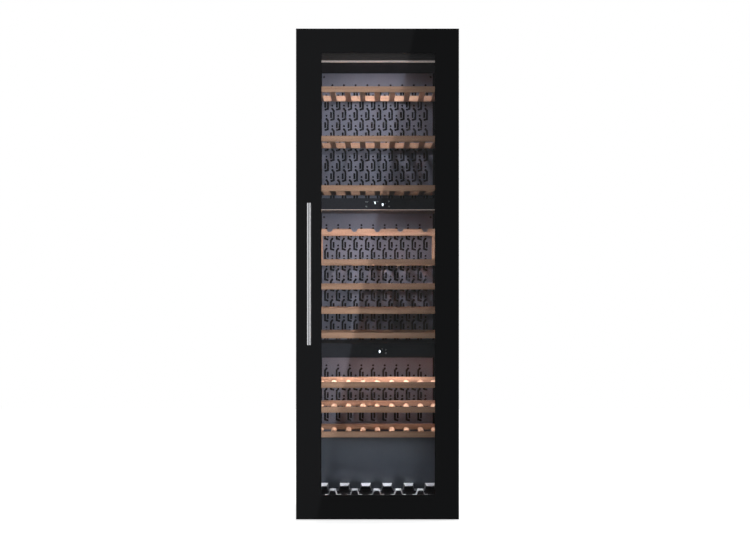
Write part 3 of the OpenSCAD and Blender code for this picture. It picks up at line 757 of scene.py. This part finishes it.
FLOOR_WHITE = 0.9
FLOOR_GLOW = 0.8
FLOOR_REACH = 6
WHITE = (1, 1, 1)
floor_paint, floor_tree, floor_shader = new_material("floor_paint")
floor_shader.inputs["Roughness"].default_value = 0.9
floor_shader.inputs["Emission Color"].default_value = (*WHITE, 1)
set_gloss(floor_paint, 0.0)
floor_paint.cycles.emission_sampling = "NONE"
floor_seen = straight_view(floor_tree)
link(floor_tree, spread(floor_tree, floor_seen, 0.0, FLOOR_WHITE), floor_shader, "Base Color")
link(floor_tree, spread(floor_tree, floor_seen, 0.0, FLOOR_GLOW), floor_shader, "Emission Strength")
floor = card("floor", [(-FLOOR_REACH, -FLOOR_REACH, 0), (FLOOR_REACH, -FLOOR_REACH, 0),
                       (FLOOR_REACH, FLOOR_REACH, 0), (-FLOOR_REACH, FLOOR_REACH, 0)], floor_paint)
seen_only_by(floor, "camera", "transmission", "shadow")

# The slanted edge between the bright and the dark half of the room, on the door's front as (x, z) ends
EDGE_TOP = (0.1355, 1.795)
EDGE_BOTTOM = (-0.194, 0.14)
EDGE_SPAN = (-0.9, 2.7)
CARD_REACH = 1.6


def edge_x(z):
    """The edge's x on the door's front at a height."""
    share = (z - EDGE_BOTTOM[1]) / (EDGE_TOP[1] - EDGE_BOTTOM[1])
    return EDGE_BOTTOM[0] + share * (EDGE_TOP[0] - EDGE_BOTTOM[0])


def along_view(x, z, distance):
    """The point on the camera's line through the door's front at (x, z), at a distance from the camera."""
    share = distance / CAMERA_DISTANCE
    return (CAMERA_X + (x - CAMERA_X) * share, front_y - CAMERA_DISTANCE + distance,
            CAMERA_HEIGHT + (z - CAMERA_HEIGHT) * share)


def mirrored(x, z, distance):
    """The point that the door mirrors to the camera at (x, z), at a distance in front of the door."""
    share = 1 + distance / CAMERA_DISTANCE
    return (CAMERA_X + (x - CAMERA_X) * share, front_y - distance,
            CAMERA_HEIGHT + (z - CAMERA_HEIGHT) * share)


# A dim wall that only the door's gloss sees, to the left of the edge
WALL_DISTANCE = 9.0
WALL_GLOW = 0.1
low_z, high_z = EDGE_SPAN
wall = card("bright_wall", [mirrored(-CARD_REACH, low_z, WALL_DISTANCE),
                            mirrored(edge_x(low_z), low_z, WALL_DISTANCE),
                            mirrored(edge_x(high_z), high_z, WALL_DISTANCE),
                            mirrored(-CARD_REACH, high_z, WALL_DISTANCE)],
            emission_material("bright_wall", (0.95, 0.97, 1.0), WALL_GLOW))
seen_only_by(wall, "glossy")

# A flag that keeps the front lamp off everything to the right of the edge
FLAG_DISTANCE = CAMERA_DISTANCE / 2
flag = card("lamp_flag", [along_view(edge_x(low_z), low_z, FLAG_DISTANCE),
                          along_view(edge_x(high_z), high_z, FLAG_DISTANCE),
                          along_view(CARD_REACH, high_z, FLAG_DISTANCE),
                          along_view(CARD_REACH, low_z, FLAG_DISTANCE)], floor_paint)
seen_only_by(flag, "shadow")

FRONT_PLACE = Vector((CAMERA_X, front_y - CAMERA_DISTANCE, CAMERA_HEIGHT))
FRONT_AIM = Vector((-0.05, 0, 1.0))
front_data = bpy.data.lights.new("front_lamp", "SPOT")
front_data.energy = 1250
front_data.color = (1.0, 0.97, 0.95)
front_data.shadow_soft_size = 6 * MM
front_data.spot_size = math.radians(24)
front_data.spot_blend = 1.0
front_lamp = place_lamp("front_lamp", front_data, FRONT_PLACE, FRONT_AIM - FRONT_PLACE)
seen_only_by(front_lamp, "diffuse")

# Light from above and behind, which leaves the door's front dark
sun_data = bpy.data.lights.new("sky_lamp", "SUN")
sun_data.energy = 0.9
sun_data.angle = math.radians(50)
sun = place_lamp("sky_lamp", sun_data, (0, 0, 0), (-0.2, -0.25, -1.0))
sun.visible_glossy = False

# At both sides, a wide soft panel that the handle and the door mirror, and a fill for the cabinet
PANEL_PLACE = (2.7, front_y - 1.6, 1.2)
PANEL_FACES = (-2.7, 1.6, -0.3)
FILL_PLACE = (2.9, 0.7, 1.5)
FILL_FACES = (-2.9, -0.5, -0.4)


def on_side(side, right_hand):
    """A place or direction as given for the right side, 1, or its mirror image for the left side, -1."""
    x, y, z = right_hand
    return (side * x, y, z)


for name, side, power in (("left_panel", -1, 24), ("right_panel", 1, 38)):
    panel = area_lamp(name, on_side(side, PANEL_PLACE), size=(2.6, 3.2),
                      direction=on_side(side, PANEL_FACES), power=power, colour=WHITE)
    seen_only_by(panel, "glossy")
    area_lamp(name + "_fill", on_side(side, FILL_PLACE), size=(1.6, 2.4),
              direction=on_side(side, FILL_FACES), power=16, colour=WHITE)

SURROUND = (0.93, 0.96, 1.0)
SURROUND_GLOW = 0.085
world = bpy.data.worlds.new("studio")
world.use_nodes = True
world.cycles.sampling_method = "NONE"
bpy.context.scene.world = world
world_tree = world.node_tree
world_tree.nodes.clear()
world_output = world_tree.nodes.new("ShaderNodeOutputWorld")
seen = add(world_tree, "ShaderNodeBackground", {0: (*WHITE, 1), 1: 1.0})
around = add(world_tree, "ShaderNodeBackground", {0: (*SURROUND, 1), 1: SURROUND_GLOW})
chosen = add(world_tree, "ShaderNodeMixShader", {0: straight_view(world_tree), 1: around.outputs[0],
                                                2: seen.outputs[0]})
world_tree.links.new(chosen.outputs[0], world_output.inputs[0])
